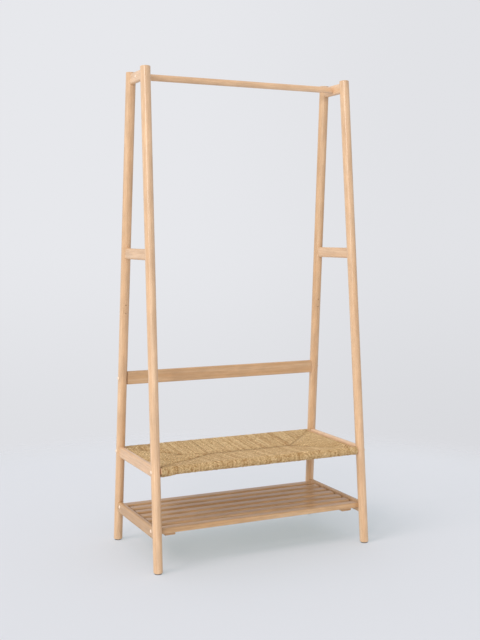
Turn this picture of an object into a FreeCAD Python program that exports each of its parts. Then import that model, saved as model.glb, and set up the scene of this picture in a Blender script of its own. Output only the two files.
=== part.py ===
import FreeCAD, Part
import math
import os

# A free-standing wooden clothes rack, in millimetres.
# The origin is on the floor, under the middle of the rack: +X is to the right, -Y is the front, +Z is up.
# Each side is an A-shaped frame of two round legs and four short rails, glued with dowels. The hanging
# rail, the rear rail, the woven seat and the slatted shelf are bolted between the two side frames.

# overall sizes
rackHeight = 1800.0        # floor to the leg tops
frameSpacing = 844.0       # between the middles of the two side frames
footSpread = 441.0         # between the front and back legs' axes, on the floor
topSpread = 157.0          # between the same axes, at the full height

# legs
footDiameter = 33.0
topDiameter = 38.0
legTopRound = 2.5
legFootRound = 3.0

# short rails of the side frames, by the height of their middles
railHeight = 41.0
railThickness = 20.0
railRound = 7.0
railLevel = {"top": 1770.5, "middle": 1110.5, "seat_side": 345.0, "shelf_side": 131.0}

# hanging rail
hangingDiameter = 25.0
hangingEndRound = 1.0

# rear rail
rearRailHeight = 50.0
rearRailThickness = 18.0
rearRailRound = 4.0
rearRailLevel = 630.5

# seat frame and its woven cord
seatLevel = 348.0          # axis of the seat's front and back rails
seatRailDiameter = 25.0
seatEndRailDiameter = 16.0
cordDiameter = 3.5
seatEndGap = 3.8           # between the woven end and the bare side rail
seatSag = 12.0             # how far the middle of the weave lies below its front and back edges
seatMiddleThickness = 10.0
weaveClearance = 0.3

# shelf
slatCount = 7
slatPitch = 58.0
slatWidth = 39.0
slatThickness = 18.0
slatTopLevel = 145.5
slatTopRound = 6.0
slatBottomRound = 2.0
slatEndGap = 5.0           # the middle slats stop this far short of the side rails
battenWidth = 40.0
battenThickness = 10.0
battenRound = 2.0
battenPosition = 364.0     # from the middle of the rack to a batten's middle
battenSetback = 8.0        # its ends lie this far inside the outer faces of the outer slats

# foot glides
glideDiameter = 27.0
glideThickness = 3.0
glideRound = 0.8
nailDiameter = 2.4
nailLength = 18.0
nailHeadDiameter = 6.0
nailHeadThickness = 1.0
nailHeadDepth = 1.2        # of the nail's head above the floor

# connecting bolts, their barrel nuts and cover caps
boltDiameter = 6.0
boltHeadDiameter = 10.0
boltHeadHeight = 5.0
boltSocketRadius = 2.9     # corner radius of the hexagon socket
boltSocketDepth = 3.0
nutDiameter = 10.0
nutLength = 14.0
nutInset = 28.0            # from the end of the bolted piece to the nut's axis
boltPastNut = 6.0
capDiameter = 13.0
capHeight = 3.5
capSink = 1.5              # depth of the cap's rim below the surface
capStem = 2.4
headDepth = 4.0            # of the bolt head's face below the surface

# dowels
dowelDiameter = 8.0
dowelSpacing = 20.0
dowelInRail = 12.0
rearDowelSpacing = 32.0
seatDowelDiameter = 6.0
seatDowelInRail = 7.0
seatDowelInEndRail = 15.0

# shelf screws
screwDiameter = 4.0
screwLength = 22.0
screwHeadDiameter = 8.0
screwHeadHeight = 2.6

# pilot holes in the back legs
pilotDiameter = 4.0
pilotDepth = 14.0
pilotLevels = (882.0, 913.0)

# fits and clearances
buttGap = 0.1              # where a square end meets a round leg
dowelFit = 0.05            # radial
threadFit = 0.05           # radial
boltFit = 0.3              # radial, bolt shank in wood
headFit = 0.3              # radial, bolt head and cap stem in their bore
capFit = 0.15              # radial, cap rim in its recess
nutFit = 0.1               # radial
holeRun = 1.0              # depth past the end of what a blind hole holds
dowelStop = 1.7            # wood left between a dowel's end and a bolt hole through the leg

sides = {"left": -1, "right": 1}
ends = {"front": -1, "back": 1}

solids = {}
cutters = {}


def addSolid(node, shape):
    solids.setdefault(node, []).append(shape)


def drill(node, shape):
    cutters.setdefault(node, []).append(shape)


def vector(x, y, z):
    return FreeCAD.Vector(x, y, z)


def rod(radius, start, end):
    axis = end - start
    return Part.makeCylinder(radius, axis.Length, start, axis)


def roundedBox(xSize, ySize, zSize, centre, edgeAxis, topRound, bottomRound):
    # a bar whose long edges, along edgeAxis, are rounded
    corner = centre - vector(xSize / 2, ySize / 2, zSize / 2)
    bar = Part.makeBox(xSize, ySize, zSize, corner)
    along = [e for e in bar.Edges if abs((e.valueAt(e.LastParameter) - e.valueAt(e.FirstParameter)).dot(edgeAxis))
             > 0.9 * e.Length]
    top = [e for e in along if e.CenterOfMass.z > centre.z]
    bottom = [e for e in along if e.CenterOfMass.z < centre.z]
    bar = bar.makeFillet(topRound, top)
    bottom = [e for e in bar.Edges if any(e.CenterOfMass.distanceToPoint(b.CenterOfMass) < 0.01 for b in bottom)]
    return bar.makeFillet(bottomRound, bottom)


def legY(end, z):
    # y of a leg's axis at a height
    return end * (footSpread + (topSpread - footSpread) * z / rackHeight) / 2


def legRadius(z):
    return (footDiameter + (topDiameter - footDiameter) * z / rackHeight) / 2


def dowelInLeg(z):
    return legRadius(z) - boltDiameter / 2 - boltFit - dowelStop


def buttX(z):
    # where a square end between the side frames meets the legs, at the widest of a rail's height
    return frameSpacing / 2 - legRadius(z) - buttGap


railFaceX = (frameSpacing - railThickness) / 2


# legs

def legSolid(side, end):
    lean = math.atan2(footSpread - topSpread, 2 * rackHeight)
    foot = vector(side * frameSpacing / 2, legY(end, 0), 0)
    topZ = rackHeight - topDiameter / 2 * math.sin(lean)
    top = vector(foot.x, legY(end, topZ), topZ)
    axis = top - foot
    reach = 2 * footDiameter
    below = foot - axis * (reach / axis.Length)
    taper = (topDiameter - footDiameter) / 2 / axis.Length
    leg = Part.makeCone(footDiameter / 2 - taper * reach, topDiameter / 2, axis.Length + reach, below, axis)
    floor = Part.makeBox(frameSpacing, frameSpacing, reach * 2,
                         foot - vector(frameSpacing / 2, frameSpacing / 2, reach * 2 - glideThickness))
    leg = leg.cut(floor)
    topEdge = [e for e in leg.Edges if e.BoundBox.ZMin > topZ - topDiameter / 2]
    leg = leg.makeFillet(legTopRound, topEdge)
    footEdge = [e for e in leg.Edges if e.BoundBox.ZMax < glideThickness + 0.01]
    return leg.makeFillet(legFootRound, footEdge)


def makeLegs():
    for sideName, side in sides.items():
        for endName, end in ends.items():
            node = f"{endName}_{sideName}_leg"
            addSolid(node, legSolid(side, end))
            makeGlide(f"{endName}_{sideName}_glide", node, side, end)
            if end == ends["back"]:
                for z in pilotLevels:
                    mouth = legY(end, z) - legRadius(z)
                    x = side * frameSpacing / 2
                    drill(node, rod(pilotDiameter / 2, vector(x, mouth + pilotDepth, z), vector(x, 0, z)))


def makeGlide(node, leg, side, end):
    x = side * frameSpacing / 2
    y = legY(end, 0)
    disc = Part.makeCylinder(glideDiameter / 2, glideThickness, vector(x, y, 0))
    rim = [e for e in disc.Edges if e.BoundBox.ZMax < 0.01]
    addSolid(node, disc.makeFillet(glideRound, rim))

    head = Part.makeCylinder(nailHeadDiameter / 2, nailHeadThickness, vector(x, y, nailHeadDepth))
    shank = Part.makeCylinder(nailDiameter / 2, nailLength, vector(x, y, nailHeadDepth))
    addSolid("glide_nails", head.fuse(shank).removeSplitter())
    headHole = Part.makeCylinder(nailHeadDiameter / 2 + dowelFit, nailHeadDepth + nailHeadThickness, vector(x, y, 0))
    shankHole = Part.makeCylinder(nailDiameter / 2 + dowelFit, nailHeadDepth + nailLength + holeRun, vector(x, y, 0))
    drill(node, headHole)
    drill(node, shankHole)
    drill(leg, shankHole)


# short rails of the side frames

def makeSideRails():
    for sideName, side in sides.items():
        for levelName, z in railLevel.items():
            node = f"{sideName}_{levelName}_rail"
            length = legY(1, z) - legY(-1, z)
            centre = vector(side * frameSpacing / 2, 0, z)
            bar = roundedBox(railThickness, length, railHeight, centre, vector(0, 1, 0), railRound, railRound)
            for endName, end in ends.items():
                leg = f"{endName}_{sideName}_leg"
                bar = bar.cut(solids[leg][0])
                for offset in (-dowelSpacing / 2, dowelSpacing / 2):
                    addFrameDowel(f"{levelName}_rail_dowels", node, leg, centre.x, end, z + offset)
            addSolid(node, bar)


def addFrameDowel(group, rail, leg, x, end, z):
    shoulder = legY(end, z) - end * legRadius(z)
    inner = vector(x, shoulder - end * dowelInRail, z)
    outer = vector(x, shoulder + end * dowelInLeg(z), z)
    addSolid(group, rod(dowelDiameter / 2, inner, outer))
    run = vector(0, end * holeRun, 0)
    hole = rod(dowelDiameter / 2 + dowelFit, inner - run, outer + run)
    drill(rail, hole)
    drill(leg, hole)


# bolts

def capSolid():
    # outer face at +X, rim resting capSink below x = 0
    radius = capDiameter / 2
    stemRadius = boltHeadDiameter / 2
    edge = vector(0, radius, 0)
    crown = vector(capHeight, 0, 0)
    sphereRadius = (radius ** 2 + capHeight ** 2) / (2 * capHeight)
    half = math.asin(radius / sphereRadius) / 2
    middle = vector(capHeight - sphereRadius * (1 - math.cos(half)), sphereRadius * math.sin(half), 0)
    outline = [vector(-capSink - capStem, 0, 0), vector(-capSink - capStem, stemRadius, 0),
               vector(-capSink, stemRadius, 0), vector(-capSink, radius, 0), edge]
    edges = [Part.LineSegment(a, b).toShape() for a, b in zip(outline, outline[1:])]
    edges.append(Part.Arc(edge, middle, crown).toShape())
    edges.append(Part.LineSegment(crown, outline[0]).toShape())
    return Part.Face(Part.Wire(edges)).revolve(vector(0, 0, 0), vector(1, 0, 0), 360)


def boltSolid(length):
    # the head's outer face is headDepth below x = 0, and the shank runs towards -X
    face = vector(-headDepth, 0, 0)
    head = rod(boltHeadDiameter / 2, face - vector(boltHeadHeight, 0, 0), face)
    shank = rod(boltDiameter / 2, face - vector(length, 0, 0), face - vector(boltHeadHeight / 2, 0, 0))
    corners = [vector(-headDepth, boltSocketRadius * math.cos(math.radians(60 * i)),
                      boltSocketRadius * math.sin(math.radians(60 * i))) for i in range(7)]
    socket = Part.Face(Part.makePolygon(corners)).extrude(vector(-boltSocketDepth, 0, 0))
    return head.fuse(shank).removeSplitter().cut(socket)


def placed(shape, side, x, y, z):
    # turns a shape made facing +X to face outwards on its side
    shape = shape.copy()
    if side < 0:
        shape.rotate(vector(0, 0, 0), vector(0, 0, 1), 180)
    shape.translate(vector(side * x, y, z))
    return shape


def addBolt(group, host, piece, side, surfaceX, pieceEndX, y, z, nutOpen, nutReach):
    # a bolt through host into the end of piece, where a barrel nut holds it
    nutX = pieceEndX - nutInset
    tipX = nutX - boltPastNut
    length = surfaceX - headDepth - tipX
    addSolid(f"{group}_bolts", placed(boltSolid(length), side, surfaceX, y, z))
    addSolid(f"{group}_bolt_caps", placed(capSolid(), side, surfaceX, y, z))

    recess = rod(capDiameter / 2 + capFit, vector(-capSink, 0, 0), vector(capDiameter, 0, 0))
    headBore = rod(boltHeadDiameter / 2 + headFit, vector(-headDepth - boltHeadHeight, 0, 0), vector(0, 0, 0))
    shankRadius = boltDiameter / 2 + boltFit
    shankHole = rod(shankRadius, vector(-headDepth - length - holeRun, 0, 0), vector(0, 0, 0))
    for tool in (recess, headBore, shankHole):
        drill(host, placed(tool, side, surfaceX, y, z))
    drill(piece, placed(shankHole, side, surfaceX, y, z))

    blind = vector(side * nutX, y - nutOpen * nutLength / 2, z)
    nut = rod(nutDiameter / 2, blind, blind + vector(0, nutOpen * nutLength, 0))
    thread = rod(boltDiameter / 2 + threadFit, blind + vector(-nutDiameter, nutOpen * nutLength / 2, 0),
                 blind + vector(nutDiameter, nutOpen * nutLength / 2, 0))
    addSolid(f"{group}_barrel_nuts", nut.cut(thread))
    mouth = vector(blind.x, y + nutOpen * (nutReach + holeRun), z)
    drill(piece, rod(nutDiameter / 2 + nutFit, blind - vector(0, nutOpen * nutFit, 0), mouth))


# rails between the side frames

def makeHangingRail():
    z = railLevel["top"]
    bar = rod(hangingDiameter / 2, vector(-railFaceX, 0, z), vector(railFaceX, 0, z))
    rims = [e for e in bar.Edges if e.Closed]
    addSolid("hanging_rail", bar.makeFillet(hangingEndRound, rims))
    surfaceX = (frameSpacing + railThickness) / 2
    for sideName, side in sides.items():
        addBolt("hanging_rail", f"{sideName}_top_rail", "hanging_rail", side, surfaceX, railFaceX, 0, z,
                1, hangingDiameter / 2)


def makeRearRail():
    z = rearRailLevel
    y = legY(1, z)
    endX = buttX(z + rearRailHeight / 2)
    bar = roundedBox(2 * endX, rearRailThickness, rearRailHeight, vector(0, y, z), vector(1, 0, 0),
                     rearRailRound, rearRailRound)
    addSolid("rear_rail", bar)
    for sideName, side in sides.items():
        leg = f"back_{sideName}_leg"
        addBolt("rear_rail", leg, "rear_rail", side, frameSpacing / 2 + legRadius(z), endX, y, z,
                1, rearRailThickness / 2)
        for offset in (-rearDowelSpacing / 2, rearDowelSpacing / 2):
            level = z + offset
            inner = vector(side * (endX - dowelInRail), y, level)
            outer = vector(side * (endX + buttGap + dowelInLeg(level)), y, level)
            addSolid("rear_rail_dowels", rod(dowelDiameter / 2, inner, outer))
            run = vector(side * holeRun, 0, 0)
            hole = rod(dowelDiameter / 2 + dowelFit, inner - run, outer + run)
            drill("rear_rail", hole)
            drill(leg, hole)


# seat

seatRollRadius = seatRailDiameter / 2 + cordDiameter
seatEndRollRadius = seatEndRailDiameter / 2 + cordDiameter
seatEndRailX = railFaceX - seatEndGap - seatEndRollRadius


def makeSeatFrame():
    z = seatLevel
    endX = buttX(z + seatRailDiameter / 2)
    for endName, end in ends.items():
        node = f"seat_{endName}_rail"
        y = legY(end, z)
        addSolid(node, rod(seatRailDiameter / 2, vector(-endX, y, z), vector(endX, y, z)))
        for sideName, side in sides.items():
            addBolt("seat", f"{endName}_{sideName}_leg", node, side, frameSpacing / 2 + legRadius(z), endX, y, z,
                    -end, seatRailDiameter / 2)
    for sideName, side in sides.items():
        node = f"seat_{sideName}_end_rail"
        x = side * seatEndRailX
        bar = rod(seatEndRailDiameter / 2, vector(x, legY(-1, z), z), vector(x, legY(1, z), z))
        for endName, end in ends.items():
            cross = f"seat_{endName}_rail"
            y = legY(end, z)
            bar = bar.cut(rod(seatRailDiameter / 2, vector(-frameSpacing / 2, y, z), vector(frameSpacing / 2, y, z)))
            shoulder = legY(end, z) - end * seatRailDiameter / 2
            inner = vector(x, shoulder - end * seatDowelInEndRail, z)
            outer = vector(x, shoulder + end * seatDowelInRail, z)
            addSolid("seat_frame_dowels", rod(seatDowelDiameter / 2, inner, outer))
            run = vector(0, end * holeRun, 0)
            drill(node, rod(seatDowelDiameter / 2 + dowelFit, inner - run, outer))
            drill(cross, rod(seatDowelDiameter / 2 + dowelFit, inner, outer + run / 2))
        addSolid(node, bar)


def makeWovenSeat():
    # one solid with the outer shape of the weave: a roll along the front and back rails, and a sagging middle
    z = seatLevel
    front = legY(-1, z)
    back = legY(1, z)
    endX = buttX(z + seatRailDiameter / 2) - weaveClearance
    top = z + seatRollRadius
    bottom = z - seatRollRadius
    middleTop = top - seatSag
    outline = [
        Part.Arc(vector(-endX, front, top), vector(-endX, 0, middleTop), vector(-endX, back, top)),
        Part.Arc(vector(-endX, back, top), vector(-endX, back + seatRollRadius, z), vector(-endX, back, bottom)),
        Part.Arc(vector(-endX, back, bottom), vector(-endX, 0, middleTop - seatMiddleThickness),
                 vector(-endX, front, bottom)),
        Part.Arc(vector(-endX, front, bottom), vector(-endX, front - seatRollRadius, z), vector(-endX, front, top)),
    ]
    slab = Part.Face(Part.Wire([arc.toShape() for arc in outline])).extrude(vector(2 * endX, 0, 0))
    endReach = back - topDiameter
    for side in sides.values():
        x = side * seatEndRailX
        slab = slab.fuse(rod(seatEndRollRadius, vector(x, -endReach, z), vector(x, endReach, z)))
    for y in (front, back):
        slab = slab.cut(rod(seatRailDiameter / 2 + weaveClearance, vector(-frameSpacing / 2, y, z),
                            vector(frameSpacing / 2, y, z)))
    for side in sides.values():
        x = side * seatEndRailX
        slab = slab.cut(rod(seatEndRailDiameter / 2 + weaveClearance, vector(x, front, z), vector(x, back, z)))
    addSolid("woven_seat", slab.removeSplitter())


# shelf

slatLevel = slatTopLevel - slatThickness / 2


def makeShelf():
    for i in range(slatCount):
        y = (i - (slatCount - 1) / 2) * slatPitch
        outer = i in (0, slatCount - 1)
        endX = railFaceX if outer else railFaceX - slatEndGap
        node = f"shelf_slat_{i + 1}"
        bar = roundedBox(2 * endX, slatWidth, slatThickness, vector(0, y, slatLevel), vector(1, 0, 0),
                         slatTopRound, slatBottomRound)
        addSolid(node, bar)
        if outer:
            for sideName, side in sides.items():
                addBolt("shelf", f"{sideName}_shelf_side_rail", node, side, (frameSpacing + railThickness) / 2,
                        railFaceX, y, slatLevel, 1 if y < 0 else -1, slatWidth / 2)

    battenLevel = slatTopLevel - slatThickness - battenThickness / 2
    battenLength = (slatCount - 1) * slatPitch + slatWidth - 2 * battenSetback
    for sideName, side in sides.items():
        batten = f"{sideName}_shelf_batten"
        centre = vector(side * battenPosition, 0, battenLevel)
        bar = Part.makeBox(battenWidth, battenLength, battenThickness,
                           centre - vector(battenWidth, battenLength, battenThickness) / 2)
        lower = [e for e in bar.Edges if e.BoundBox.ZMax < battenLevel]
        addSolid(batten, bar.makeFillet(battenRound, lower))
        for i in range(slatCount):
            y = (i - (slatCount - 1) / 2) * slatPitch
            addScrew(batten, f"shelf_slat_{i + 1}", centre.x, y, battenLevel - battenThickness / 2)


def addScrew(batten, slat, x, y, z):
    # a countersunk screw from below
    head = Part.makeCone(screwHeadDiameter / 2, screwDiameter / 2, screwHeadHeight, vector(x, y, z))
    pointHeight = screwDiameter
    shank = Part.makeCylinder(screwDiameter / 2, screwLength - pointHeight, vector(x, y, z))
    point = Part.makeCone(screwDiameter / 2, 0, pointHeight, vector(x, y, z + screwLength - pointHeight))
    addSolid("shelf_screws", head.fuse([shank, point]).removeSplitter())
    sink = Part.makeCone(screwHeadDiameter / 2 + dowelFit, screwDiameter / 2 + dowelFit, screwHeadHeight,
                         vector(x, y, z))
    drill(batten, sink)
    hole = Part.makeCylinder(screwDiameter / 2 + dowelFit, screwLength + holeRun, vector(x, y, z))
    drill(batten, hole)
    drill(slat, hole)


def writeParts():
    os.makedirs("parts", exist_ok=True)
    for node, shapes in solids.items():
        if node in cutters:
            tool = cutters[node][0]
            if len(cutters[node]) > 1:
                tool = tool.fuse(cutters[node][1:])
            shapes = [shape.cut(tool) for shape in shapes]
        whole = shapes[0] if len(shapes) == 1 else Part.makeCompound(shapes)
        if not whole.isValid():
            raise ValueError(f"{node} is not a valid shape")
        whole.exportStep(f"parts/{node}.step")
        print(f"{node}: {len(whole.Solids)} solid(s), {whole.Volume / 1000:.1f} cm3")
    print(len(solids), "nodes")


makeLegs()
makeSideRails()
makeHangingRail()
makeRearRail()
makeSeatFrame()
makeWovenSeat()
makeShelf()
writeParts()
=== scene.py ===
import math
import bpy
import numpy as np
from mathutils import Euler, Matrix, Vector


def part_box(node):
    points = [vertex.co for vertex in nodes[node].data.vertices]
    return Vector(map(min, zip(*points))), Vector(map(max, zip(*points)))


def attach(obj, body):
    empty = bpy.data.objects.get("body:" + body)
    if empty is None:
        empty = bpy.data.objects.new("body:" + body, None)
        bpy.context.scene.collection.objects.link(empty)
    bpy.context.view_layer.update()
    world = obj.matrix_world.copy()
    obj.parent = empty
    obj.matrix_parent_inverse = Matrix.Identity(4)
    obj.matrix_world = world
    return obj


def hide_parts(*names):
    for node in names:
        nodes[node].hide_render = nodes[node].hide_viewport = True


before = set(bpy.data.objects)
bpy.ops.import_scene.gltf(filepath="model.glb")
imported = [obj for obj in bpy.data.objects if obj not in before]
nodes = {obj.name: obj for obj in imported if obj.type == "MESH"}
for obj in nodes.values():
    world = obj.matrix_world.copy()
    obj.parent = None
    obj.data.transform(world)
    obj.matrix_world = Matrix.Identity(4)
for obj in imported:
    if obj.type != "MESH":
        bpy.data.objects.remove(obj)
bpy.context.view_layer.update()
print("frame loaded:", len(nodes), "nodes")


# helpers

def linear(hexColour):
    # sRGB hex to the linear colour that Blender's sockets take
    values = [int(hexColour[i:i + 2], 16) / 255 for i in (1, 3, 5)]
    return tuple(v / 12.92 if v <= 0.04045 else ((v + 0.055) / 1.055) ** 2.4 for v in values) + (1.0,)


def addNode(tree, kind, settings=None, links=None):
    node = tree.nodes.new(kind)
    for name, value in (settings or {}).items():
        if isinstance(name, str) and hasattr(node, name):
            setattr(node, name, value)
        else:
            node.inputs[name].default_value = value
    for socket, source in (links or {}).items():
        tree.links.new(source, node.inputs[socket])
    return node


def startMaterial(name):
    material = bpy.data.materials.new(name)
    material.use_nodes = True
    tree = material.node_tree
    tree.nodes.clear()
    shader = addNode(tree, "ShaderNodeBsdfPrincipled")
    addNode(tree, "ShaderNodeOutputMaterial", {}, {"Surface": shader.outputs["BSDF"]})
    return material, tree, shader


def boxMiddle(node):
    low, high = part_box(node)
    return (low + high) / 2


# camera

cameraSetup = {
    "place": (-1.66536, -3.51857, 1.18432),
    "azimuth": -25.30,        # degrees from the rack's front, towards its left side
    "lookUp": 1.03,           # degrees
    "lens": 56.3,             # mm on a 36 mm frame
    "shift": -0.162,          # a view camera's falling front: upright legs stay upright
}


def makeCamera(setup):
    data = bpy.data.cameras.new("studioCamera")
    data.lens = setup["lens"]
    data.sensor_width = 36.0
    data.shift_y = setup["shift"]
    camera = bpy.data.objects.new("studioCamera", data)
    bpy.context.scene.collection.objects.link(camera)
    camera.location = setup["place"]
    turn = math.radians(-setup["azimuth"])
    tilt = math.radians(setup["lookUp"])
    forward = Vector((math.sin(turn) * math.cos(tilt), math.cos(turn) * math.cos(tilt), math.sin(tilt)))
    camera.rotation_euler = forward.to_track_quat("-Z", "Y").to_euler()
    bpy.context.scene.camera = camera


makeCamera(cameraSetup)


# oak, planed or turned, sanded fine and given a clear satin lacquer: pale pinkish tan, straight fine grain,
# a soft broad highlight, darker end grain

oak = {
    "light": "#EDCBA6",
    "mid": "#DFB68C",
    "dark": "#B98C62",
    "pore": "#9C7048",
    "ringSpacing": 0.0045,    # real growth rings are 2 to 3 mm; drawn wider so that they show
    "ringWaver": 0.006,
    "heartOffset": (0.085, 0.045),    # from the piece's middle to the middle of its tree's rings
    "streaks": (55, 55, 1.4),         # patterns' repeats per metre, across the grain twice and along it
    "fibres": (420, 420, 9),          # vessels are 0.3 mm wide; drawn at 2 mm
    "pores": (1500, 1500, 110),
    "mottle": (45, 45, 13),
    "mottleRange": (0.90, 1.08),
    "ringShades": ((0.0, 0.75), (1.0, 0.85), (0.12, 0.25), (0.6, 0.1), (0.93, 0.5)),    # across one ring
    "roughness": 0.42,
    "roughnessRange": (-0.05, 0.10),
    "specular": 0.42,
    "coat": 0.45,             # satin lacquer
    "coatRoughness": 0.2,
    "toneDarkens": 0.09,      # one step of tone takes this much off the colour's value
    "toneDeepens": 0.05,      # and adds this much to its saturation
    "tones": {"rear_rail": 1.5, "shelf": 2.5, "back_right_leg": 1.3, "front_left_leg": -0.5},    # painted shade and light: the shelf under the seat, the rear rail and the back right leg are drawn darker, the front left leg lighter
    "toneSpread": 0.4,
}

grainTurns = {"x": (0, math.pi / 2, 0), "y": (math.pi / 2, 0, 0), "z": (0, 0, 0)}


def oakMaterial(name, middle, turn, seed, tone=0.0):
    material, tree, shader = startMaterial(name)
    shader.inputs["IOR"].default_value = 1.5
    shader.inputs["Specular IOR Level"].default_value = oak["specular"]
    shader.inputs["Coat Weight"].default_value = oak["coat"]
    shader.inputs["Coat Roughness"].default_value = oak["coatRoughness"]

    # grain space: the piece's length is z, and the tree's heart is the z axis
    rotated = Vector(middle)
    rotated.rotate(Euler(turn, "XYZ"))
    place = addNode(tree, "ShaderNodeTexCoord")
    angle = seed * 2.4
    across = Vector(oak["heartOffset"])
    heart = (across.x * math.cos(angle) - across.y * math.sin(angle),
             across.x * math.sin(angle) + across.y * math.cos(angle), seed * 0.731)
    grain = addNode(tree, "ShaderNodeMapping",
                    {"Rotation": turn, "Location": (heart[0] - rotated.x, heart[1] - rotated.y, heart[2])},
                    {"Vector": place.outputs["Object"]})
    wideSpace = addNode(tree, "ShaderNodeMapping", {"Scale": oak["streaks"]}, {"Vector": grain.outputs["Vector"]})
    wide = addNode(tree, "ShaderNodeTexNoise", {"Scale": 1.0, "Detail": 3.0, "Roughness": 0.55},
                   {"Vector": wideSpace.outputs["Vector"]})
    fineSpace = addNode(tree, "ShaderNodeMapping", {"Scale": oak["fibres"]}, {"Vector": grain.outputs["Vector"]})
    fine = addNode(tree, "ShaderNodeTexNoise", {"Scale": 1.0, "Detail": 3.0, "Roughness": 0.6},
                   {"Vector": fineSpace.outputs["Vector"]})
    poreSpace = addNode(tree, "ShaderNodeMapping", {"Scale": oak["pores"]}, {"Vector": grain.outputs["Vector"]})
    pores = addNode(tree, "ShaderNodeTexNoise", {"Scale": 1.0, "Detail": 1.0}, {"Vector": poreSpace.outputs["Vector"]})

    # growth rings
    flat = addNode(tree, "ShaderNodeVectorMath", {"operation": "MULTIPLY", 1: (1, 1, 0)}, {0: grain.outputs["Vector"]})
    radius = addNode(tree, "ShaderNodeVectorMath", {"operation": "LENGTH"}, {0: flat.outputs["Vector"]})
    waver = addNode(tree, "ShaderNodeMath", {"operation": "MULTIPLY_ADD", 1: oak["ringWaver"]},
                    {0: wide.outputs["Fac"], 2: radius.outputs["Value"]})
    turns = addNode(tree, "ShaderNodeMath", {"operation": "DIVIDE", 1: oak["ringSpacing"]}, {0: waver.outputs["Value"]})
    ring = addNode(tree, "ShaderNodeMath", {"operation": "FRACT"}, {0: turns.outputs["Value"]})
    ringShade = addNode(tree, "ShaderNodeValToRGB", {}, {"Fac": ring.outputs["Value"]})
    stops = ringShade.color_ramp.elements
    for i, (position, value) in enumerate(oak["ringShades"]):
        stop = stops[i] if i < 2 else stops.new(position)    # a new ramp has two stops
        stop.position = position
        stop.color = (value, value, value, 1)

    # colour
    streak = addNode(tree, "ShaderNodeMapRange", {"From Min": 0.34, "From Max": 0.66, "To Min": 0.0, "To Max": 0.9},
                     {"Value": wide.outputs["Fac"]})
    bands = addNode(tree, "ShaderNodeMath", {"operation": "MULTIPLY_ADD", 1: 0.45, "use_clamp": True},
                    {0: ringShade.outputs["Color"], 2: streak.outputs["Result"]})
    fineShade = addNode(tree, "ShaderNodeMapRange", {"From Min": 0.35, "From Max": 0.7, "To Min": 0.0, "To Max": 0.5},
                        {"Value": fine.outputs["Fac"]})
    body = addNode(tree, "ShaderNodeMix", {"data_type": "RGBA", 6: linear(oak["light"]), 7: linear(oak["mid"])},
                   {0: bands.outputs["Value"]})
    darker = addNode(tree, "ShaderNodeMix", {"data_type": "RGBA", 7: linear(oak["dark"])},
                     {0: fineShade.outputs["Result"], 6: body.outputs[2]})
    poreMask = addNode(tree, "ShaderNodeMapRange", {"From Min": 0.60, "From Max": 0.70, "To Min": 0.0, "To Max": 0.55},
                       {"Value": pores.outputs["Fac"]})
    poreRing = addNode(tree, "ShaderNodeMath", {"operation": "MULTIPLY"},
                       {0: poreMask.outputs["Result"], 1: ringShade.outputs["Color"]})
    pored = addNode(tree, "ShaderNodeMix", {"data_type": "RGBA", 7: linear(oak["pore"])},
                    {0: poreRing.outputs["Value"], 6: darker.outputs[2]})

    # end grain is darker, because it drinks more lacquer
    axis = Vector((0, 0, 1))
    axis.rotate(Euler(turn, "XYZ").to_matrix().transposed().to_euler())
    shape = addNode(tree, "ShaderNodeNewGeometry")
    facing = addNode(tree, "ShaderNodeVectorMath", {"operation": "DOT_PRODUCT", 1: tuple(axis)},
                     {0: shape.outputs["Normal"]})
    size = addNode(tree, "ShaderNodeMath", {"operation": "ABSOLUTE"}, {0: facing.outputs["Value"]})
    endGrain = addNode(tree, "ShaderNodeMapRange", {"From Min": 0.6, "From Max": 0.95, "To Min": 0.0, "To Max": 0.35},
                       {"Value": size.outputs["Value"]})
    ended = addNode(tree, "ShaderNodeMix", {"data_type": "RGBA", 7: linear(oak["dark"])},
                    {0: endGrain.outputs["Result"], 6: pored.outputs[2]})
    patchSpace = addNode(tree, "ShaderNodeMapping", {"Scale": oak["mottle"]}, {"Vector": grain.outputs["Vector"]})
    patches = addNode(tree, "ShaderNodeTexNoise", {"Scale": 1.0, "Detail": 2.0, "Roughness": 0.6},
                      {"Vector": patchSpace.outputs["Vector"]})
    # the board's tone, which holds painted shade and light for some boards, darkens or lightens its colour
    value = 1.0 - oak["toneDarkens"] * tone
    darkest, lightest = oak["mottleRange"]
    mottle = addNode(tree, "ShaderNodeMapRange", {"From Min": 0.3, "From Max": 0.7, "To Min": value * darkest,
                                                  "To Max": value * lightest}, {"Value": patches.outputs["Fac"]})
    toned = addNode(tree, "ShaderNodeHueSaturation", {"Saturation": 1.0 + oak["toneDeepens"] * tone},
                    {"Value": mottle.outputs["Result"], "Color": ended.outputs[2]})
    tree.links.new(toned.outputs["Color"], shader.inputs["Base Color"])

    # sheen varies a little with the grain, and the pores are open
    smoothest, roughest = (oak["roughness"] + change for change in oak["roughnessRange"])
    gloss = addNode(tree, "ShaderNodeMapRange", {"From Min": 0.3, "From Max": 0.7, "To Min": smoothest,
                                                 "To Max": roughest}, {"Value": fine.outputs["Fac"]})
    tree.links.new(gloss.outputs["Result"], shader.inputs["Roughness"])
    relief = addNode(tree, "ShaderNodeMath", {"operation": "MULTIPLY_ADD", 1: -0.6},
                     {0: poreRing.outputs["Value"], 2: fine.outputs["Fac"]})
    bump = addNode(tree, "ShaderNodeBump", {"Strength": 0.12, "Distance": 0.0004}, {"Height": relief.outputs["Value"]})
    tree.links.new(bump.outputs["Normal"], shader.inputs["Normal"])
    return material


def finishNode(name, material):
    mesh = nodes[name].data
    mesh.materials.clear()
    mesh.materials.append(material)


def legLean(name):
    # angle about x that stands the leg's own axis upright, from its box
    low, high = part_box(name)
    topDiameter = high.x - low.x
    run = (high.y - low.y) - topDiameter
    lean = math.atan2(run, high.z - low.z)
    return lean if high.y < 0 else -lean


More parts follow.
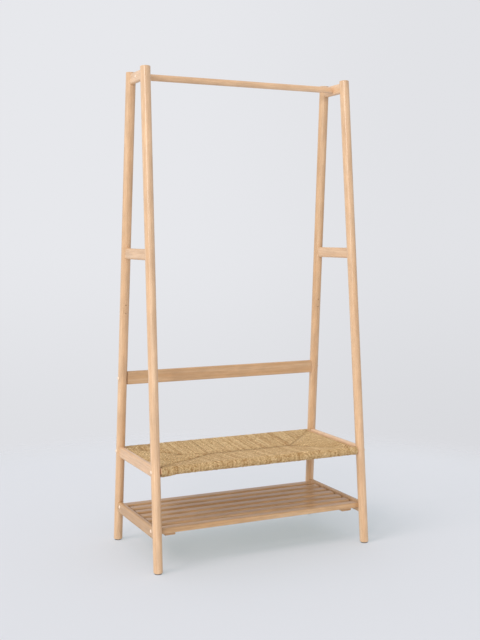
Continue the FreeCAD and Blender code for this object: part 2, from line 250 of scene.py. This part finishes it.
def boardToneAndPaintedShade(name, seed):
    # how much darker than the usual this board is drawn: a random tone, plus the painted shade and light of oak's tones
    own = [value for key, value in oak["tones"].items() if key in name]
    return oak["toneSpread"] * math.sin(seed * 2.3) + max(own, default=0.0, key=abs)


def finishWood():
    seed = 1
    for name in sorted(nodes):
        if name.endswith("_leg"):
            turn = (legLean(name), 0, 0)
        elif name.endswith(("_top_rail", "_middle_rail", "_side_rail", "_end_rail", "_batten")):
            turn = grainTurns["y"]
        elif name in ("hanging_rail", "rear_rail", "seat_front_rail", "seat_back_rail") or "slat" in name:
            turn = grainTurns["x"]
        else:
            continue
        material = oakMaterial("lacquered oak, " + name.replace("_", " "), boxMiddle(name), turn, seed,
                               boardToneAndPaintedShade(name, seed))
        finishNode(name, material)
        seed += 1
    print("oak pieces finished:", seed - 1)


finishWood()


# small fittings

buttons = {"light": "#F6E3CF", "dark": "#E6C8AA", "grain": (700, 700, 60), "roughness": 0.38, "relief": 0.1}


def capMaterial():
    # turned birch buttons, polished: paler and plainer than the oak
    material, tree, shader = startMaterial("polished birch buttons")
    shader.inputs["Roughness"].default_value = buttons["roughness"]
    place = addNode(tree, "ShaderNodeTexCoord")
    grain = addNode(tree, "ShaderNodeMapping", {"Scale": buttons["grain"]}, {"Vector": place.outputs["Object"]})
    noise = addNode(tree, "ShaderNodeTexNoise", {"Scale": 1.0, "Detail": 3.0}, {"Vector": grain.outputs["Vector"]})
    colour = addNode(tree, "ShaderNodeMix",
                     {"data_type": "RGBA", 6: linear(buttons["light"]), 7: linear(buttons["dark"])},
                     {0: noise.outputs["Fac"]})
    tree.links.new(colour.outputs[2], shader.inputs["Base Color"])
    bump = addNode(tree, "ShaderNodeBump", {"Strength": buttons["relief"], "Distance": 0.0002},
                   {"Height": noise.outputs["Fac"]})
    tree.links.new(bump.outputs["Normal"], shader.inputs["Normal"])
    return material


nylon = {"dark": "#5A5857", "light": "#6E6C6A", "grain": 1400.0, "roughness": (0.5, 0.68), "relief": 0.2}


def glideMaterial():
    # moulded nylon: dark grey, dull, with a fine moulded grain
    material, tree, shader = startMaterial("moulded grey nylon")
    place = addNode(tree, "ShaderNodeTexCoord")
    noise = addNode(tree, "ShaderNodeTexNoise", {"Scale": nylon["grain"], "Detail": 2.0},
                    {"Vector": place.outputs["Object"]})
    colour = addNode(tree, "ShaderNodeMix", {"data_type": "RGBA", 6: linear(nylon["dark"]), 7: linear(nylon["light"])},
                     {0: noise.outputs["Fac"]})
    tree.links.new(colour.outputs[2], shader.inputs["Base Color"])
    smoothest, roughest = nylon["roughness"]
    scuffs = addNode(tree, "ShaderNodeMapRange", {"To Min": smoothest, "To Max": roughest},
                     {"Value": noise.outputs["Fac"]})
    tree.links.new(scuffs.outputs["Result"], shader.inputs["Roughness"])
    bump = addNode(tree, "ShaderNodeBump", {"Strength": nylon["relief"], "Distance": 0.0002},
                   {"Height": noise.outputs["Fac"]})
    tree.links.new(bump.outputs["Normal"], shader.inputs["Normal"])
    return material


zinc = {"dark": "#B9BCC0", "light": "#D6D8DA", "crystals": 500.0, "roughness": (0.26, 0.42)}


def steelMaterial():
    # zinc-plated steel: cool bright grey with cloudy crystals
    material, tree, shader = startMaterial("zinc-plated steel")
    shader.inputs["Metallic"].default_value = 1.0
    place = addNode(tree, "ShaderNodeTexCoord")
    noise = addNode(tree, "ShaderNodeTexNoise", {"Scale": zinc["crystals"], "Detail": 4.0},
                    {"Vector": place.outputs["Object"]})
    colour = addNode(tree, "ShaderNodeMix", {"data_type": "RGBA", 6: linear(zinc["dark"]), 7: linear(zinc["light"])},
                     {0: noise.outputs["Fac"]})
    tree.links.new(colour.outputs[2], shader.inputs["Base Color"])
    smoothest, roughest = zinc["roughness"]
    gloss = addNode(tree, "ShaderNodeMapRange", {"To Min": smoothest, "To Max": roughest},
                    {"Value": noise.outputs["Fac"]})
    tree.links.new(gloss.outputs["Result"], shader.inputs["Roughness"])
    return material


beech = {"light": "#D9B186", "dark": "#BC8F62", "flecks": 900.0, "roughness": 0.7}


def dowelMaterial():
    # fluted beech dowels, raw wood: matt, with fine flecks
    material, tree, shader = startMaterial("raw beech dowels")
    shader.inputs["Roughness"].default_value = beech["roughness"]
    place = addNode(tree, "ShaderNodeTexCoord")
    noise = addNode(tree, "ShaderNodeTexNoise", {"Scale": beech["flecks"], "Detail": 2.0},
                    {"Vector": place.outputs["Object"]})
    colour = addNode(tree, "ShaderNodeMix", {"data_type": "RGBA", 6: linear(beech["light"]), 7: linear(beech["dark"])},
                     {0: noise.outputs["Fac"]})
    tree.links.new(colour.outputs[2], shader.inputs["Base Color"])
    return material


def finishFittings():
    caps, glides, steel, dowels = capMaterial(), glideMaterial(), steelMaterial(), dowelMaterial()
    for name in nodes:
        if name.endswith("_caps"):
            finishNode(name, caps)
        elif name.endswith("_glide"):
            finishNode(name, glides)
        elif name.endswith(("_bolts", "_nuts", "_screws", "_nails")):
            finishNode(name, steel)
        elif name.endswith("_dowels"):
            finishNode(name, dowels)
    print("fittings finished")


finishFittings()


# paper cord, three plies twisted hard: olive tan, dry and fibrous, with painted shade in the grooves between the plies

cord = {
    "diameter": 0.0035,
    "light": "#FFE3AD",
    "deep": "#BC8E54",
    "dark": "#775327",
    "plies": 3,
    "twistPitch": 0.014,      # length of one full twist; real cord is nearer 10 mm
    "blotches": 150.0,        # per metre: the fibre's colour changes every 7 mm or so
    "fibres": 1100.0,         # per metre
    "blotchShare": 1.5,       # against one for the strand's own tone
    "toneRange": (0.25, 2.25),
    "grooveWidth": 0.22,      # of a ply, from its edge
    # share of the dark colour painted in near a seam, as shade
    "paintedSeamShadeStrength": 0.6,
    "roughness": 0.78,
}


def cordMaterial():
    material, tree, shader = startMaterial("twisted paper cord")
    shader.inputs["Roughness"].default_value = cord["roughness"]
    shader.inputs["Specular IOR Level"].default_value = 0.3
    shader.inputs["Sheen Weight"].default_value = 0.05
    shader.inputs["Sheen Roughness"].default_value = 0.5

    unwrap = addNode(tree, "ShaderNodeUVMap", {"uv_map": "cordMap"})
    parts = addNode(tree, "ShaderNodeSeparateXYZ", {}, {"Vector": unwrap.outputs["UV"]})
    along = addNode(tree, "ShaderNodeMath", {"operation": "DIVIDE", 1: cord["twistPitch"]}, {0: parts.outputs["X"]})
    phase = addNode(tree, "ShaderNodeMath", {"operation": "MULTIPLY_ADD", 1: float(cord["plies"])},
                    {0: parts.outputs["Y"], 2: along.outputs["Value"]})
    ply = addNode(tree, "ShaderNodeMath", {"operation": "PINGPONG", 1: 0.5}, {0: phase.outputs["Value"]})
    groove = addNode(tree, "ShaderNodeMapRange", {"From Min": 0.0, "From Max": cord["grooveWidth"]},
                     {"Value": ply.outputs["Value"]})

    strand = addNode(tree, "ShaderNodeAttribute", {"attribute_name": "strandTone"})
    place = addNode(tree, "ShaderNodeTexCoord")
    patch = addNode(tree, "ShaderNodeTexNoise", {"Scale": cord["blotches"], "Detail": 2.5, "Roughness": 0.65},
                    {"Vector": place.outputs["Object"]})
    fibre = addNode(tree, "ShaderNodeTexNoise", {"Scale": cord["fibres"], "Detail": 2.0},
                    {"Vector": place.outputs["Object"]})

    blotch = addNode(tree, "ShaderNodeMapRange", {"From Min": 0.39, "From Max": 0.61}, {"Value": patch.outputs["Fac"]})
    mixed = addNode(tree, "ShaderNodeMath", {"operation": "MULTIPLY_ADD", 1: cord["blotchShare"]},
                    {0: blotch.outputs["Result"], 2: strand.outputs["Fac"]})
    lowest, highest = cord["toneRange"]
    share = addNode(tree, "ShaderNodeMapRange", {"From Min": lowest, "From Max": highest},
                    {"Value": mixed.outputs["Value"]})
    body = addNode(tree, "ShaderNodeMix", {"data_type": "RGBA", 6: linear(cord["light"]), 7: linear(cord["deep"])},
                   {0: share.outputs["Result"]})
    fibreShade = addNode(tree, "ShaderNodeMapRange", {"From Min": 0.45, "From Max": 0.75, "To Max": 0.35},
                         {"Value": fibre.outputs["Fac"]})
    fibred = addNode(tree, "ShaderNodeMix", {"data_type": "RGBA", 7: linear(cord["dark"])},
                     {0: fibreShade.outputs["Result"], 6: body.outputs[2]})
    # painted shade: the grooves between the plies are mixed towards dark
    grooved = addNode(tree, "ShaderNodeMix", {"data_type": "RGBA", 6: linear(cord["dark"])},
                      {0: groove.outputs["Result"], 7: fibred.outputs[2]})
    # painted shade: near a seam the cord is mixed towards dark, for the shadow of its dive
    seam = addNode(tree, "ShaderNodeAttribute", {"attribute_name": "paintedSeamShade"})
    seamShare = addNode(tree, "ShaderNodeMath", {"operation": "MULTIPLY", 1: cord["paintedSeamShadeStrength"]},
                        {0: seam.outputs["Fac"]})
    shaded = addNode(tree, "ShaderNodeMix", {"data_type": "RGBA", 7: linear(cord["dark"])},
                     {0: seamShare.outputs["Value"], 6: grooved.outputs[2]})
    tree.links.new(shaded.outputs[2], shader.inputs["Base Color"])

    height = addNode(tree, "ShaderNodeMath", {"operation": "MULTIPLY_ADD", 1: 0.25},
                     {0: fibre.outputs["Fac"], 2: groove.outputs["Result"]})
    bump = addNode(tree, "ShaderNodeBump", {"Strength": 0.55, "Distance": 0.0006}, {"Height": height.outputs["Value"]})
    tree.links.new(bump.outputs["Normal"], shader.inputs["Normal"])
    return material


# woven seat: every strand is a hairpin that goes round one rail, runs in over the top and underneath, and
# dives into the weave at a seam. The seams run in from the four corners and along the middle.

weave = {
    "legGap": 0.0015,         # between the outermost strand and the leg
    "cornerGap": 0.0005,      # between the end strands and the rolls on the long rails
    "sag": 0.012,             # of the middle of the top
    "rise": 0.010,            # of the middle underneath
    "seamDip": 0.0070,        # how much deeper the top lies at a seam,
    "seamWidth": 0.016,       # and how fast it rises again beside it
    "paintedSeamShade": 0.011,       # painted shade: the cord is drawn darker this near to a seam, for the shadow where it dives
    "shortStrand": 0.05,      # strands shorter than this dip less
    "railSteps": 6,           # straight steps round half a rail
    "topSteps": (0.10, 0.26, 0.44, 0.62, 0.78, 0.90, 0.97),
    "bottomSteps": (0.92, 0.5),
    "dive": 0.0030,           # how far a strand runs on, going down, past its seam
    "endDive": 0.001,         # the same for the strands of the end rails
    "pairLift": 0.0011,       # cords are laid two at a time, and each pair lies a little higher or lower
    "slotEvery": (6, 12),     # strands from one slot between groups to the next
    "slotWidth": 0.0036,      # of the widest slots, halfway along the strands
    "slotReach": 1.5,         # strands on each side that give way to a slot
    "spread": 0.12,           # strands' radii vary by this share
    "waver": 0.0008,          # how far a strand wanders sideways
    "waverScale": 120.0,      # per metre
    "looseEnd": (0.060, 0.006),    # the front roll hangs lower at its left end: over this length, by this much
    # the front seam on the left leaves its corner's bisector and comes in flatter: x and y from the middle
    "leftSeam": ((-0.404, -0.193), (-0.311, -0.100), (-0.238, -0.065), (-0.184, -0.030), (-0.128, 0.0)),
    "pairTones": (0.7, 0.8),  # a beta distribution: most pairs are clearly light or clearly dark
    "pairShare": 0.75,        # of a cord's tone that comes from its pair
    # how strongly the painted shade shows at the front seams, the back seams and the end seams
    "paintedSeamShadeShares": {"front": 1.0, "back": 0.45, "ends": 0.5},
    "sides": 6,
    "seed": 11,
}


def strandPath(axisPoint, inward, railRadius, length, topAt, bottomAt, hidden, dive, lift, push, droop,
               shade):
    # points from the seam underneath, round the rail and back over the top to the seam
    points, shades = [], []

    def put(distance, z, aside=0.0):
        points.append((axisPoint[0] + inward[0] * distance + abs(inward[1]) * aside,
                       axisPoint[1] + inward[1] * distance + abs(inward[0]) * aside, z))
        # painted shade, strongest where the strand dives at its seam
        shades.append(shade * min(1.0, math.exp((distance - length) / weave["paintedSeamShade"])))

    put(length + dive, hidden)
    for share in weave["bottomSteps"]:
        put(length * share, bottomAt(length * share) - droop * (1 - share))
    steps = weave["railSteps"]
    for i in range(steps + 1):
        angle = math.pi * (i / steps - 0.5)
        radius = railRadius + lift
        put(-radius * math.cos(angle), axisPoint[2] + radius * math.sin(angle) - droop * (1 - i / steps) ** 2)
    for share in weave["topSteps"]:
        fromSeam = length * (1 - share)
        dip = weave["seamDip"] * math.exp(-fromSeam / weave["seamWidth"]) * min(1.0, length / weave["shortStrand"])
        put(length * share, topAt(length * share) + lift - dip, push * math.sin(math.pi * share))
    put(length + dive, hidden)
    return points, shades


def slotPushes(draw, count, width):
    # how far each strand is pushed aside by the slots between groups of strands
    slots = []
    at = int(draw.randint(2, weave["slotEvery"][0]))
    while at < count:
        slots.append((at - 0.5, width / 2 * draw.uniform(0.25, 1.0)))
        at += int(draw.randint(*weave["slotEvery"]))
    return [sum(math.copysign(size, i - place) * math.exp(-(abs(i - place) - 0.5) / weave["slotReach"])
                for place, size in slots) for i in range(count)]


def weaveStrands():
    half = cord["diameter"] / 2
    frontLow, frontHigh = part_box("seat_front_rail")
    backLow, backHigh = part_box("seat_back_rail")
    endLow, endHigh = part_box("seat_right_end_rail")
    railY = (backLow.y + backHigh.y) / 2
    railZ = (backLow.z + backHigh.z) / 2
    longRadius = (backHigh.z - backLow.z) / 2 + half
    endRadius = (endHigh.x - endLow.x) / 2 + half
    endX = (endLow.x + endHigh.x) / 2
    reachX = frontHigh.x - weave["legGap"] - half
    cornerX = frontHigh.x
    leftX = [place[0] for place in weave["leftSeam"]]
    leftY = [place[1] for place in weave["leftSeam"]]

    def deckTop(y):
        return railZ + longRadius - weave["sag"] * (1 - (y / railY) ** 2)

    def deckBottom(y):
        return railZ - longRadius + weave["rise"] * (1 - (y / railY) ** 2)

    def longReach(x, side):
        # from the long rail's axis to the seam
        if side < 0 and x < 0:
            return max(0.0, railY + float(np.interp(x, leftX, leftY)))
        return min(railY, max(0.0, cornerX - abs(x)))

    def endReach(y, side):
        # from the end rail's axis to the seam
        if side < 0 and y < 0:
            return endX + float(np.interp(y, leftY, leftX))
        return endX - (cornerX - (railY - abs(y)))

    draw = np.random.RandomState(weave["seed"])
    strands = []

    count = int(2 * reachX / cord["diameter"]) + 1
    looseLength, looseDrop = weave["looseEnd"]
    for side in (-1, 1):
        pushes = slotPushes(draw, count, weave["slotWidth"] * (1.0 if side > 0 else 0.7))
        lifts = np.repeat(draw.uniform(-0.5, 0.5, count // 2 + 1), 2) * weave["pairLift"]
        for i in range(count):
            x = -reachX + 2 * reachX * i / (count - 1)
            length = longReach(x, side)
            seamY = railY - length
            hidden = (deckTop(seamY) + deckBottom(seamY)) / 2 + draw.uniform(-0.5, 0.5) * half
            droop = looseDrop * max(0.0, 1 - (x + cornerX) / looseLength) ** 0.5 if side < 0 else 0.0
            strands.append(strandPath((x, side * railY, railZ), (0, -side), longRadius, length,
                                      lambda d: deckTop(railY - d), lambda d: deckBottom(railY - d), hidden,
                                      weave["dive"], lifts[i], pushes[i], droop,
                                      weave["paintedSeamShadeShares"]["front" if side < 0 else "back"]))

    reachY = railY - longRadius - half - half - weave["cornerGap"]
    count = int(2 * reachY / cord["diameter"]) + 1
    for side in (-1, 1):
        pushes = slotPushes(draw, count, weave["slotWidth"] * 0.6)
        lifts = np.repeat(draw.uniform(-0.5, 0.5, count // 2 + 1), 2) * weave["pairLift"]
        for i in range(count):
            y = -reachY + 2 * reachY * i / (count - 1)
            length = endReach(y, side)
            seamTop, seamBottom = deckTop(y), deckBottom(y)
            hidden = (seamTop + seamBottom) / 2 + draw.uniform(-0.5, 0.5) * half

            def topAt(d):
                t = d / length
                return (railZ + endRadius) * (1 - t) ** 2 + seamTop * (1 - (1 - t) ** 2)

            def bottomAt(d):
                t = d / length
                return (railZ - endRadius) * (1 - t) ** 2 + seamBottom * (1 - (1 - t) ** 2)

            strands.append(strandPath((side * endX, y, railZ), (-side, 0), endRadius, length, topAt, bottomAt,
                                      hidden, weave["endDive"], lifts[i], pushes[i], 0.0,
                                      weave["paintedSeamShadeShares"]["ends"]))
    return strands


def guideMesh(strands):
    # one line of vertices and edges for each strand, with its own tone and thickness
    perStrand = len(strands[0][0])
    points = [p for line, shades in strands for p in line]
    seams = np.array([shade for line, shades in strands for shade in shades])
    edges = [(s * perStrand + i, s * perStrand + i + 1) for s in range(len(strands)) for i in range(perStrand - 1)]
    mesh = bpy.data.meshes.new("seatWeave")
    mesh.from_pydata(points, edges, [])
    draw = np.random.RandomState(weave["seed"] + 1)
    pairs = np.repeat(draw.beta(*weave["pairTones"], len(strands) // 2 + 1), 2)[:len(strands)]
    share = weave["pairShare"]
    tones = np.repeat(share * pairs + (1 - share) * draw.uniform(0, 1, len(strands)), perStrand)
    sizes = np.repeat(draw.uniform(1 - weave["spread"], 1 + weave["spread"] / 2, len(strands)), perStrand)
    for name, values in (("strandTone", tones), ("strandSize", sizes), ("paintedSeamShade", seams)):
        mesh.attributes.new(name, "FLOAT", "POINT").data.foreach_set("value", values.astype(np.float32))
    guide = bpy.data.objects.new("seatWeave", mesh)
    bpy.context.scene.collection.objects.link(guide)
    return guide


def cordTree(material):
    # turns each guide line into a cord: waver, thickness, round section, a map along and around it
    tree = bpy.data.node_groups.new("layCord", "GeometryNodeTree")
    tree.interface.new_socket("Geometry", in_out="INPUT", socket_type="NodeSocketGeometry")
    for name, kind in (("Cord radius", "NodeSocketFloat"), ("Sides", "NodeSocketInt"), ("Waver", "NodeSocketFloat"),
                       ("Waver size", "NodeSocketFloat"), ("Seed", "NodeSocketFloat")):
        tree.interface.new_socket(name, in_out="INPUT", socket_type=kind)
    tree.interface.new_socket("Geometry", in_out="OUTPUT", socket_type="NodeSocketGeometry")
    given = addNode(tree, "NodeGroupInput").outputs

    lines = addNode(tree, "GeometryNodeMeshToCurve", {}, {"Mesh": given["Geometry"]})
    place = addNode(tree, "GeometryNodeInputPosition")
    scaled = addNode(tree, "ShaderNodeVectorMath", {"operation": "SCALE"},
                     {0: place.outputs["Position"], "Scale": given["Waver size"]})
    noise = addNode(tree, "ShaderNodeTexNoise", {"noise_dimensions": "4D", "Scale": 1.0, "Detail": 2.0},
                    {"Vector": scaled.outputs["Vector"], "W": given["Seed"]})
    centred = addNode(tree, "ShaderNodeVectorMath", {"operation": "SUBTRACT", 1: (0.5, 0.5, 0.5)},
                      {0: noise.outputs["Color"]})
    shift = addNode(tree, "ShaderNodeVectorMath", {"operation": "SCALE"},
                    {0: centred.outputs["Vector"], "Scale": given["Waver"]})
    wandered = addNode(tree, "GeometryNodeSetPosition", {},
                       {"Geometry": lines.outputs["Curve"], "Offset": shift.outputs["Vector"]})
    size = addNode(tree, "GeometryNodeInputNamedAttribute", {"data_type": "FLOAT", "Name": "strandSize"})

    alongStrand = addNode(tree, "GeometryNodeSplineParameter")
    lengthKept = addNode(tree, "GeometryNodeCaptureAttribute", {}, {"Geometry": wandered.outputs["Geometry"]})
    lengthKept.capture_items.new("FLOAT", "Length")
    tree.links.new(alongStrand.outputs["Length"], lengthKept.inputs["Length"])
    section = addNode(tree, "GeometryNodeCurvePrimitiveCircle", {},
                      {"Resolution": given["Sides"], "Radius": given["Cord radius"]})
    roundSection = addNode(tree, "GeometryNodeSplineParameter")
    factorKept = addNode(tree, "GeometryNodeCaptureAttribute", {}, {"Geometry": section.outputs["Curve"]})
    factorKept.capture_items.new("FLOAT", "Factor")
    tree.links.new(roundSection.outputs["Factor"], factorKept.inputs["Factor"])
    tube = addNode(tree, "GeometryNodeCurveToMesh", {"Fill Caps": True},
                   {"Curve": lengthKept.outputs["Geometry"], "Profile Curve": factorKept.outputs["Geometry"],
                    "Scale": size.outputs["Attribute"]})

    # the last face round the section ends at 1, not back at 0
    faceMean = addNode(tree, "GeometryNodeFieldOnDomain", {"data_type": "FLOAT", "domain": "FACE"},
                       {0: factorKept.outputs["Factor"]})
    atStart = addNode(tree, "ShaderNodeMath", {"operation": "LESS_THAN", 1: 0.01}, {0: factorKept.outputs["Factor"]})
    lastFace = addNode(tree, "ShaderNodeMath", {"operation": "GREATER_THAN", 1: 0.3}, {0: faceMean.outputs[0]})
    wrap = addNode(tree, "ShaderNodeMath", {"operation": "MULTIPLY_ADD"},
                   {0: atStart.outputs["Value"], 1: lastFace.outputs["Value"], 2: factorKept.outputs["Factor"]})
    chart = addNode(tree, "ShaderNodeCombineXYZ", {}, {"X": lengthKept.outputs["Length"], "Y": wrap.outputs["Value"]})
    mapped = addNode(tree, "GeometryNodeStoreNamedAttribute",
                     {"data_type": "FLOAT2", "domain": "CORNER", "Name": "cordMap"},
                     {"Geometry": tube.outputs["Mesh"], "Value": chart.outputs["Vector"]})
    smooth = addNode(tree, "GeometryNodeSetShadeSmooth", {}, {"Geometry": mapped.outputs["Geometry"]})
    real = addNode(tree, "GeometryNodeRealizeInstances", {}, {"Geometry": smooth.outputs["Geometry"]})
    coated = addNode(tree, "GeometryNodeSetMaterial", {"Material": material}, {"Geometry": real.outputs["Geometry"]})
    addNode(tree, "NodeGroupOutput", {}, {"Geometry": coated.outputs["Geometry"]})
    return tree


def runTree(guide, tree, values, name):
    # runs a node tree on a guide, and gives its result as a plain mesh object
    modifier = guide.modifiers.new("layCord", "NODES")
    modifier.node_group = tree
    for socket in tree.interface.items_tree:
        if socket.item_type == "SOCKET" and socket.in_out == "INPUT" and socket.name in values:
            modifier[socket.identifier] = values[socket.name]
    bpy.context.view_layer.update()
    evaluated = guide.evaluated_get(bpy.context.evaluated_depsgraph_get())
    mesh = bpy.data.meshes.new_from_object(evaluated, preserve_all_data_layers=True,
                                           depsgraph=bpy.context.evaluated_depsgraph_get())
    bpy.data.objects.remove(guide)
    mesh.name = name
    piece = bpy.data.objects.new(name, mesh)
    bpy.context.scene.collection.objects.link(piece)
    return piece


def makeSeat():
    material = cordMaterial()
    strands = weaveStrands()
    values = {"Cord radius": cord["diameter"] / 2, "Sides": weave["sides"], "Waver": 2 * weave["waver"],
              "Waver size": weave["waverScale"], "Seed": float(weave["seed"])}
    piece = runTree(guideMesh(strands), cordTree(material), values, "woven_cord_seat")
    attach(piece, "root")
    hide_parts("woven_seat")
    finishNode("woven_seat", material)
    print("seat woven:", len(strands), "strands,", len(piece.data.polygons), "faces")


makeSeat()


# studio

studio = {
    "floorRadius": 6.0,
    "fadeStart": 1.5,         # from the rack's middle, where the floor begins to melt into the backdrop
    "fadeEnd": 2.4,
    "floorColour": "#C5B7B8",
    "floorGlow": 0.334,       # the sweep's own even light, which keeps the shadows on it pale and neutral
    "glowColour": "#CAF1FA",
    "low": "#DFE0E4",         # backdrop, near the floor
    "high": "#E7E8EC",        # backdrop, above the horizon
    "skyLight": 0.76,
    "skySlope": 0.22,         # the sky is this share brighter on the left and dimmer on the right
    "backdropSlope": 0.05,    # and the backdrop dims this much towards the right
    "lamps": {                # power, softness, height and turn to the left from straight in front, in degrees
        "softKey": (0.85, 18.0, 15.0, 38.0),
        "sideLight": (0.8, 30.0, 42.0, 78.0),
    },
}


def makeFloor():
    bpy.ops.mesh.primitive_circle_add(vertices=96, radius=studio["floorRadius"], fill_type="NGON")
    floor = bpy.context.object
    floor.name = "studioFloor"
    material, tree, shader = startMaterial("matt paper sweep")
    shader.inputs["Base Color"].default_value = linear(studio["floorColour"])
    shader.inputs["Roughness"].default_value = 0.9
    shader.inputs["Specular IOR Level"].default_value = 0.1
    shader.inputs["Emission Color"].default_value = linear(studio["glowColour"])
    shader.inputs["Emission Strength"].default_value = studio["floorGlow"]
    place = addNode(tree, "ShaderNodeTexCoord")
    distance = addNode(tree, "ShaderNodeVectorMath", {"operation": "LENGTH"}, {0: place.outputs["Object"]})
    fade = addNode(tree, "ShaderNodeMapRange", {"interpolation_type": "SMOOTHERSTEP", "From Min": studio["fadeStart"],
                                                "From Max": studio["fadeEnd"], "To Min": 1.0, "To Max": 0.0},
                   {"Value": distance.outputs["Value"]})
    tree.links.new(fade.outputs["Result"], shader.inputs["Alpha"])
    floor.data.materials.append(material)


def makeWorld():
    # white light all round; what shows behind the rack is a pale backdrop, a little darker towards the floor
    world = bpy.data.worlds.new("studioSky")
    bpy.context.scene.world = world
    world.use_nodes = True
    tree = world.node_tree
    tree.nodes.clear()
    rays = addNode(tree, "ShaderNodeLightPath")
    place = addNode(tree, "ShaderNodeTexCoord")
    parts = addNode(tree, "ShaderNodeSeparateXYZ", {}, {"Vector": place.outputs["Generated"]})
    strength, share = studio["skyLight"], studio["skySlope"]
    slope = addNode(tree, "ShaderNodeMapRange", {"From Min": -1.0, "From Max": 1.0, "To Min": strength * (1 + share),
                                                 "To Max": strength * (1 - share)}, {"Value": parts.outputs["X"]})
    light = addNode(tree, "ShaderNodeBackground", {"Color": linear("#FBFBFF")}, {"Strength": slope.outputs["Result"]})
    rise = addNode(tree, "ShaderNodeMapRange", {"interpolation_type": "SMOOTHSTEP", "From Min": -0.21, "From Max": 0.0},
                   {"Value": parts.outputs["Z"]})
    colour = addNode(tree, "ShaderNodeMix", {"data_type": "RGBA", 6: linear(studio["low"]), 7: linear(studio["high"])},
                     {0: rise.outputs["Result"]})
    dimmest = 1.0 - studio["backdropSlope"]
    dimming = addNode(tree, "ShaderNodeMapRange", {"interpolation_type": "SMOOTHSTEP", "From Min": 0.35,
                                                   "From Max": 0.60, "To Min": 1.0, "To Max": dimmest},
                      {"Value": parts.outputs["X"]})
    seen = addNode(tree, "ShaderNodeBackground", {},
                   {"Color": colour.outputs[2], "Strength": dimming.outputs["Result"]})
    mixed = addNode(tree, "ShaderNodeMixShader", {}, {"Fac": rays.outputs["Is Camera Ray"],
                                                      1: light.outputs["Background"], 2: seen.outputs["Background"]})
    addNode(tree, "ShaderNodeOutputWorld", {}, {"Surface": mixed.outputs["Shader"]})


def addLamp(name, power, softness, height, turn):
    data = bpy.data.lights.new(name, "SUN")
    data.energy = power
    data.angle = math.radians(softness)
    lamp = bpy.data.objects.new(name, data)
    height, turn = math.radians(height), math.radians(turn)
    towards = Vector((-math.sin(turn) * math.cos(height), -math.cos(turn) * math.cos(height), math.sin(height)))
    lamp.rotation_euler = towards.to_track_quat("Z", "Y").to_euler()
    bpy.context.scene.collection.objects.link(lamp)


def makeStudio():
    makeFloor()
    makeWorld()
    for name, values in studio["lamps"].items():
        addLamp(name, *values)
    bpy.context.scene.view_settings.view_transform = "Standard"
    print("studio set")


makeStudio()
